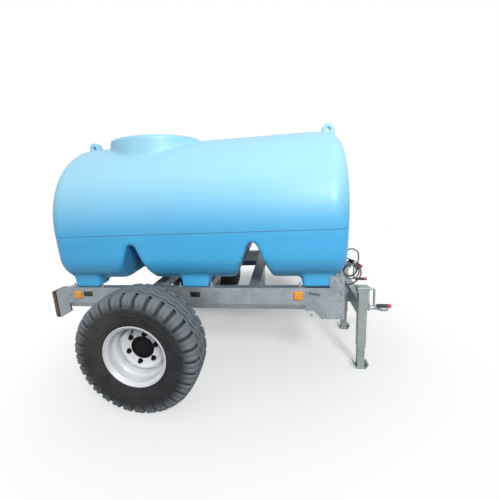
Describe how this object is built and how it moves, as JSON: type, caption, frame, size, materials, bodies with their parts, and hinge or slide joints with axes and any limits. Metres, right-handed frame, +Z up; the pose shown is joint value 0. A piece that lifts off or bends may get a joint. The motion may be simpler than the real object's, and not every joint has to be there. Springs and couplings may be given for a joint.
{
  "type": "water tank trailer",
  "caption": "Single-axle trailer carrying a blue moulded water tank on a galvanised frame, parked on its wheels and two front jacks.",
  "frame": {"origin": "on the ground in the middle plane, midway along the trailer between the rear lamps and the towing eye", "axes": "+X forward to the towing eye, +Y to the left, +Z up"},
  "size_m": [2.68, 1.94, 1.8859],
  "materials": {
    "polyethylene": "satin moulded polyethylene",
    "lid_plastic": "matt black plastic",
    "valve_metal": "black plastic valve",
    "galvanised": "hot-dip galvanised",
    "galvanised_cast": "galvanised forging",
    "zinc": "zinc plated",
    "axle_paint": "satin black",
    "hub_black": "satin black",
    "rim_silver": "silver paint",
    "tyre": "worn rubber",
    "lamp_housing": "dark red lens",
    "hose_rubber": "smooth rubber",
    "cap_red": "red plastic",
    "marker_amber": "amber reflector"
  },
  "bodies": {
    "root": {"tank": "polyethylene", "lid_neck": "lid_plastic", "outlet_valve": "valve_metal", "side_rail_right": "galvanised", "side_rail_left": "galvanised", "nose_plate_right": "galvanised", "nose_plate_left": "galvanised", "front_crossmember": "galvanised", "rear_crossmember": "galvanised", "crossmember_axle": "galvanised", "crossmember_middle": "galvanised", "crossmember_drawbar": "galvanised", "drawbar_beam": "galvanised", "drawbar_hanger": "galvanised", "jack_beam": "galvanised", "lamp_bracket_right": "galvanised", "lamp_bracket_left": "galvanised", "tank_bracket_right": "galvanised", "tank_bracket_left": "galvanised", "coupling_housing": "galvanised_cast", "coupling_shaft": "galvanised_cast", "towing_eye": "galvanised_cast", "jack_tube_right": "zinc", "jack_tube_left": "zinc", "jack_head_right": "zinc", "jack_head_left": "zinc", "jack_crank_right": "zinc", "jack_crank_left": "zinc", "axle_beam": "axle_paint", "axle_saddle_right": "axle_paint", "axle_saddle_left": "axle_paint", "rear_lamp_right": "lamp_housing", "rear_lamp_left": "lamp_housing", "side_markers_right": "marker_amber", "side_markers_left": "marker_amber", "hose_holder": "galvanised", "hose_gland": "galvanised", "hose_coil": "hose_rubber", "hose_tail": "hose_rubber", "hose_run": "hose_rubber", "hose_coupler": "hub_black", "coupler_cap": "cap_red"},
    "wheel_right": {"tyre_right": "tyre", "rim_right": "rim_silver", "hub_right": "hub_black"},
    "wheel_left": {"tyre_left": "tyre", "rim_left": "rim_silver", "hub_left": "hub_black"},
    "leg_right": {"jack_leg_right": "zinc"},
    "leg_left": {"jack_leg_left": "zinc"},
    "lid": {"tank_lid": "lid_plastic"}
  },
  "joints": [
    {"name": "wheel_right_spin", "type": "hinge", "parent": "root", "child": "wheel_right", "pos_m": [-0.49, -0.825, 0.4225], "axis": [0, 1, 0], "continuous": true},
    {"name": "jack_right_lift", "type": "slide", "parent": "root", "child": "leg_right", "axis": [0, 0, 1], "range_m": [0, 0.1]},
    {"name": "wheel_left_spin", "type": "hinge", "parent": "root", "child": "wheel_left", "pos_m": [-0.49, 0.825, 0.4225], "axis": [0, 1, 0], "continuous": true},
    {"name": "jack_left_lift", "type": "slide", "parent": "root", "child": "leg_left", "axis": [0, 0, 1], "range_m": [0, 0.1]},
    {"name": "lid_turn", "type": "hinge", "parent": "root", "child": "lid", "pos_m": [-0.59, 0, 1.832], "axis": [0, 0, 1], "range_deg": [0, 360]}
  ]
}
